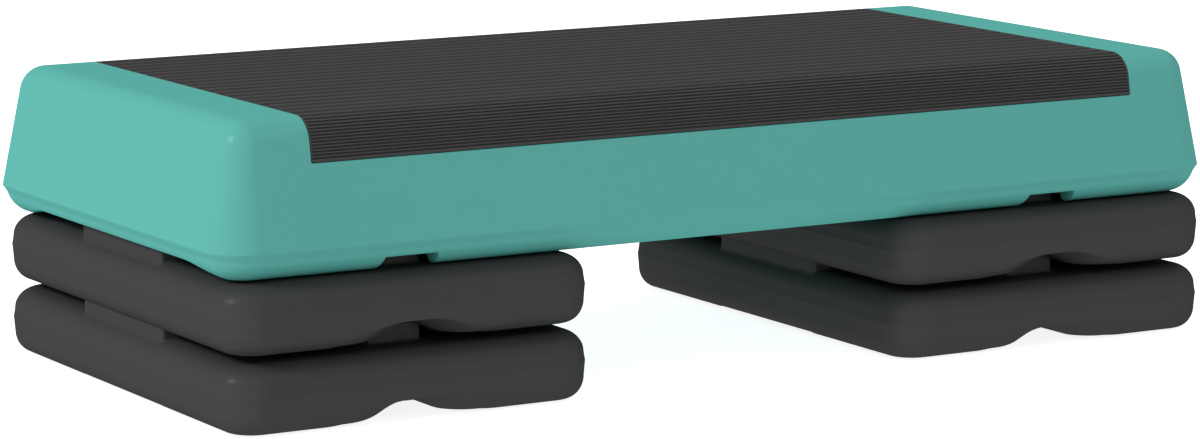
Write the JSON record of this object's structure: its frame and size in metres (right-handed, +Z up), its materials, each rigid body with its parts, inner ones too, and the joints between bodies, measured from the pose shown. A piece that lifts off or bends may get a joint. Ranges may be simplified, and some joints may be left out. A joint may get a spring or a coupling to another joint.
{
  "type": "mounting block",
  "caption": "Low rectangular step: a hollow moulded deck with a ribbed non-slip mat, carried by two stacks of interlocking hollow risers that lift apart to set its height.",
  "frame": {"origin": "on the floor, at the middle of the footprint", "axes": "+X along the deck to its right end, +Y across the deck to its back, +Z up"},
  "size_m": [0.78, 0.3762, 0.2],
  "materials": {
    "deck_plastic": "satin, finely eroded teal",
    "mat_rubber": "matte, ribbed lengthwise",
    "riser_plastic": "satin, finely eroded dark grey",
    "foot_rubber": "matte"
  },
  "bodies": {
    "lower_risers": {"riser_lower_left": "riser_plastic", "riser_lower_right": "riser_plastic", "foot_riser_lower_left_1": "foot_rubber", "foot_riser_lower_left_2": "foot_rubber", "foot_riser_lower_left_3": "foot_rubber", "foot_riser_lower_left_4": "foot_rubber", "foot_riser_lower_right_1": "foot_rubber", "foot_riser_lower_right_2": "foot_rubber", "foot_riser_lower_right_3": "foot_rubber", "foot_riser_lower_right_4": "foot_rubber"},
    "upper_left": {"riser_upper_left": "riser_plastic", "foot_riser_upper_left_1": "foot_rubber", "foot_riser_upper_left_2": "foot_rubber", "foot_riser_upper_left_3": "foot_rubber", "foot_riser_upper_left_4": "foot_rubber"},
    "upper_right": {"riser_upper_right": "riser_plastic", "foot_riser_upper_right_1": "foot_rubber", "foot_riser_upper_right_2": "foot_rubber", "foot_riser_upper_right_3": "foot_rubber", "foot_riser_upper_right_4": "foot_rubber"},
    "deck": {"deck_shell": "deck_plastic", "tread_mat": "mat_rubber", "foot_deck_1": "foot_rubber", "foot_deck_2": "foot_rubber", "foot_deck_3": "foot_rubber", "foot_deck_4": "foot_rubber"}
  },
  "joints": [
    {"name": "upper_left_lift", "type": "slide", "parent": "lower_risers", "child": "upper_left", "axis": [0, 0, 1], "range_m": [0, 0.1]},
    {"name": "upper_right_lift", "type": "slide", "parent": "lower_risers", "child": "upper_right", "axis": [0, 0, 1], "range_m": [0, 0.1]},
    {"name": "deck_lift", "type": "slide", "parent": "upper_left", "child": "deck", "axis": [0, 0, 1], "range_m": [0, 0.15]}
  ],
  "couplings": [
    {"joint": "upper_right_lift", "follows": "upper_left_lift", "ratio": 1}
  ]
}
